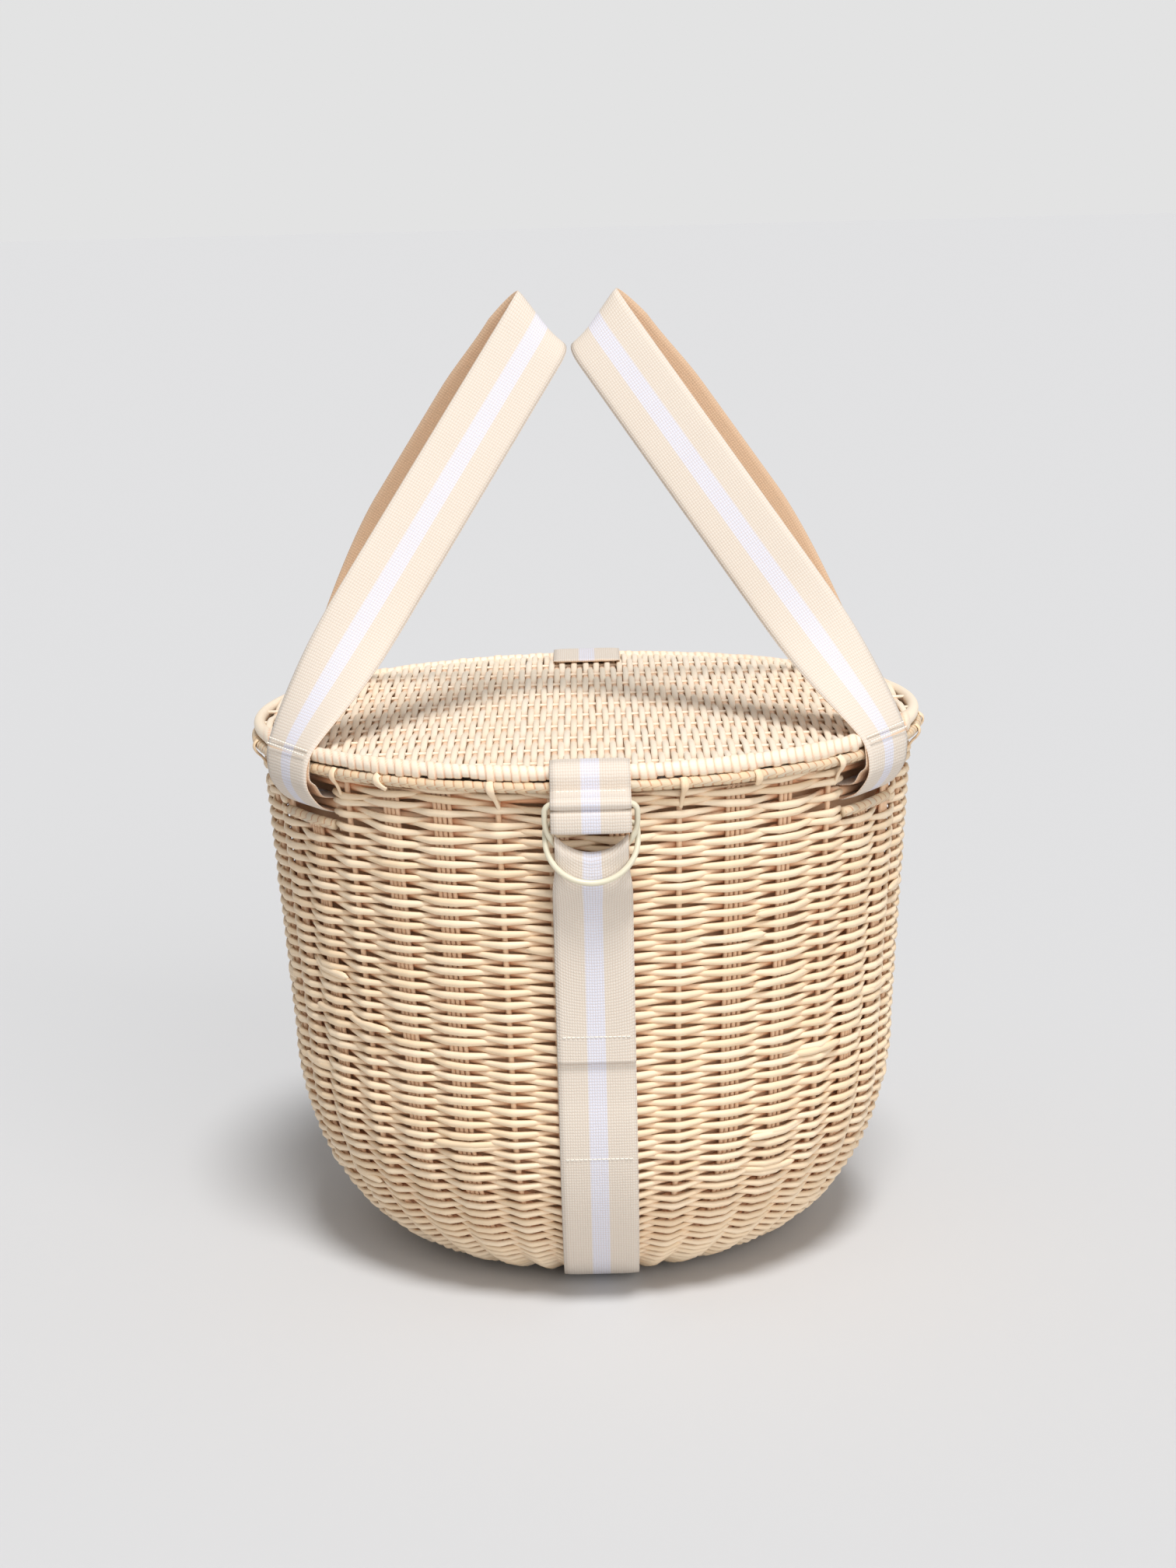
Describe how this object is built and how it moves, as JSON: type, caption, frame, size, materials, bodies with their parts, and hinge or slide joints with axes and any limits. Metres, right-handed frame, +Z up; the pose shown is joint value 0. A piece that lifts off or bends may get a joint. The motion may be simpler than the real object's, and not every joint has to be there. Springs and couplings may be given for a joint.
{
  "type": "picnic cooler basket",
  "caption": "Round woven cane picnic cooler with a hinged lid, webbing carry handles, a strap closure with buckle rings, and an insulated liner.",
  "frame": {"origin": "centre of the base on the flat underside of the closure strap and base mat, on the floor", "axes": "+Z up along the basket's axis, -Y to the front with the closure strap's buckle, +X to the right seen from the front"},
  "size_m": [0.3514, 0.3671, 0.4985],
  "materials": {
    "cane": "natural woven cane, satin",
    "webbing": "cotton webbing with a pale centre stripe",
    "ring_enamel": "cream enamel on steel wire",
    "liner_cover": "plain woven cloth",
    "liner_foam": "soft insulating foam",
    "liner_foil": "silvery laminated foil"
  },
  "bodies": {
    "basket": {"base_mat": "cane", "wall_weave": "cane", "upright_canes": "cane", "rim_hoop": "cane", "anchor_hoop": "cane", "slot_bar_left_front": "cane", "slot_bar_left_back": "cane", "slot_bar_right_front": "cane", "slot_bar_right_back": "cane", "handle_loop_left_front": "webbing", "handle_loop_left_back": "webbing", "handle_loop_right_front": "webbing", "handle_loop_right_back": "webbing", "closure_strap": "webbing", "closure_strap_end": "webbing", "liner_cover": "liner_cover", "liner_foam": "liner_foam", "liner_foil": "liner_foil"},
    "lid": {"lid_frame": "cane", "lid_weave": "cane", "lid_lining": "liner_foil", "lid_foam": "liner_foam", "lid_front_tab": "webbing", "lid_ring_tail": "webbing", "lid_hinge_webbing": "webbing"},
    "buckle_ring_upper": {"buckle_ring_upper": "ring_enamel"},
    "buckle_ring_lower": {"buckle_ring_lower": "ring_enamel"},
    "handle_left": {"handle_left_webbing": "webbing"},
    "handle_right": {"handle_right_webbing": "webbing"}
  },
  "joints": [
    {"name": "lid_hinge", "type": "hinge", "parent": "basket", "child": "lid", "pos_m": [0.001, 0.1772, 0.2766], "axis": [-1, 0, 0], "range_deg": [0, 105], "deforming": ["handle_left_webbing", "handle_right_webbing", "closure_strap_end", "lid_hinge_webbing", "lid_ring_tail"]},
    {"name": "upper_ring_swing", "type": "hinge", "parent": "lid", "child": "buckle_ring_upper", "pos_m": [0.001, -0.1862, 0.2684], "axis": [-1, 0, 0], "range_deg": [0, 95], "deforming": ["closure_strap_end"]},
    {"name": "lower_ring_swing", "type": "hinge", "parent": "lid", "child": "buckle_ring_lower", "pos_m": [0.001, -0.1774, 0.2574], "axis": [-1, 0, 0], "range_deg": [0, 57], "deforming": ["closure_strap_end"]},
    {"name": "handle_left_swing", "type": "hinge", "parent": "basket", "child": "handle_left", "pos_m": [-0.1603, 0, 0.28], "axis": [0, -1, 0], "range_deg": [0, 170]},
    {"name": "handle_right_swing", "type": "hinge", "parent": "basket", "child": "handle_right", "pos_m": [0.1603, 0, 0.28], "axis": [0, 1, 0], "range_deg": [0, 170]}
  ],
  "couplings": [
    {"joint": "lower_ring_swing", "follows": "upper_ring_swing", "ratio": 0.6}
  ]
}
